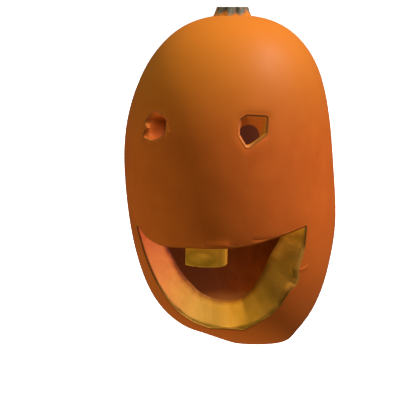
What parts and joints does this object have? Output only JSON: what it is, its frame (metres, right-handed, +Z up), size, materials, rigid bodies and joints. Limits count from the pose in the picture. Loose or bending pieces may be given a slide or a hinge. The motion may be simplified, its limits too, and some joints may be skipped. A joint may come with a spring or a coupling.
{
  "type": "carved pumpkin lantern",
  "caption": "Tall hollowed pumpkin lantern with small knife-cut eyes, a wide grin with a tooth, and a short cut stem; stands on a flat spot.",
  "frame": {"origin": "on the table, on the flat spot that the pumpkin stands on, under the middle line of its widest ring", "axes": "+Z up through the stem, -Y out of the face, +X to the viewer's right when the face is seen from the front"},
  "size_m": [0.2325, 0.2303, 0.368],
  "materials": {
    "rind": "orange pumpkin rind with a waxy satin sheen",
    "cut_flesh": "damp yellow-orange cut flesh, matt",
    "dry_stem": "dry ribbed grey-brown stem, matt"
  },
  "bodies": {
    "root": {"carved_pumpkin": "rind"}
  },
  "joints": []
}
